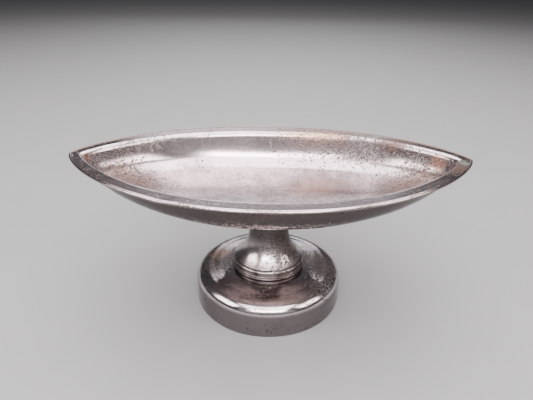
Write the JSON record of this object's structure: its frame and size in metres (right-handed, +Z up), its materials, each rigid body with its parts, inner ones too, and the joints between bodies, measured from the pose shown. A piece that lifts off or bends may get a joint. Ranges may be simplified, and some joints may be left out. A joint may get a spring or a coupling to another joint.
{
  "type": "footed navette dish",
  "caption": "Boat-shaped metal serving dish with a flat flanged rim, on a short trumpet stem and a round drum foot.",
  "frame": {"origin": "on the floor, under the middle of the round foot", "axes": "+X along the dish from tip to tip, +Y across the dish, +Z up"},
  "size_m": [0.25, 0.1352, 0.1015],
  "materials": {
    "silver_bowl": "worn silver plate over brass, satin with tarnish",
    "silver_rim": "worn silver plate over brass, satin with tarnish",
    "silver_stem": "worn silver plate over brass, satin with tarnish",
    "silver_foot": "worn silver plate over brass, satin with tarnish",
    "brass": "dull turned brass",
    "steel": "plain zinc-dull steel"
  },
  "bodies": {
    "root": {"bowl": "silver_bowl", "rim_wire_back": "silver_rim", "rim_wire_front": "silver_rim", "stem": "silver_stem", "stem_collar": "silver_stem", "foot": "silver_foot", "foot_edge_wire": "silver_foot", "threaded_boss": "brass", "tie_rod": "steel", "clamp_plate": "brass", "washer": "steel", "nut": "steel"}
  },
  "joints": []
}
